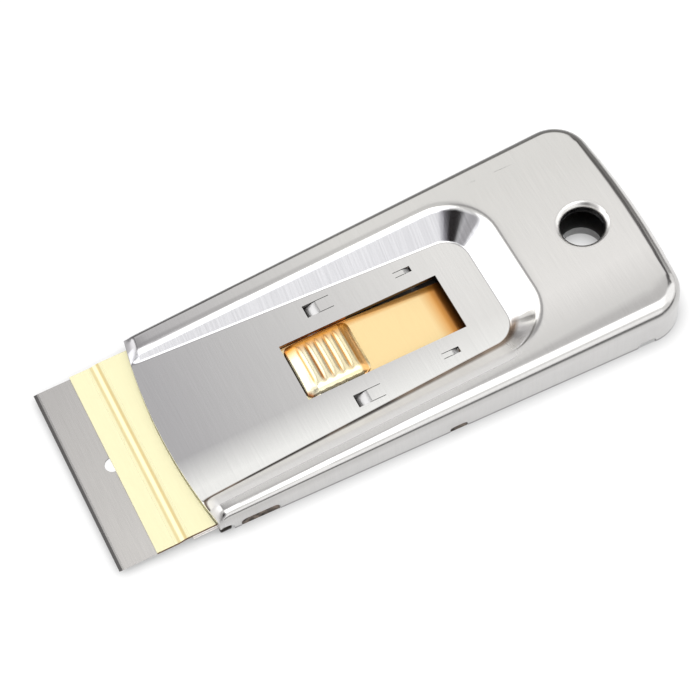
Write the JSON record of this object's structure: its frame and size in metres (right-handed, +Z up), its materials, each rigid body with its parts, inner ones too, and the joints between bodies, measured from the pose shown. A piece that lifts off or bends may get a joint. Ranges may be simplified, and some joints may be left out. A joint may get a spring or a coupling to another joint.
{
  "type": "razor blade scraper",
  "caption": "Flat steel scraper with a sliding single-edge razor blade, a ribbed thumb pad in a recessed window, and a hang hole in the handle.",
  "frame": {"origin": "middle of the underside of the bounding box, with the blade out", "axes": "+X from the cutting edge towards the hang hole, +Y across the handle, +Z up, from the back plate to the thumb recess"},
  "size_m": [0.11, 0.0448, 0.0097],
  "materials": {
    "shell_steel": "brushed across, nickel plated",
    "plate_steel": "plain plated",
    "gold_sheet": "yellow plated steel sheet, glossy",
    "blade_steel": "ground",
    "spine_steel": "smooth rolled"
  },
  "bodies": {
    "handle": {"handle_shell": "shell_steel", "back_plate": "plate_steel"},
    "slide": {"blade_carrier": "gold_sheet", "thumb_pad": "gold_sheet", "blade_clamp": "plate_steel", "carrier_rivets": "plate_steel", "razor_blade": "blade_steel", "blade_spine": "spine_steel"}
  },
  "joints": [
    {"name": "blade_slide", "type": "slide", "parent": "handle", "child": "slide", "axis": [1, 0, 0], "range_m": [0, 0.018]}
  ]
}
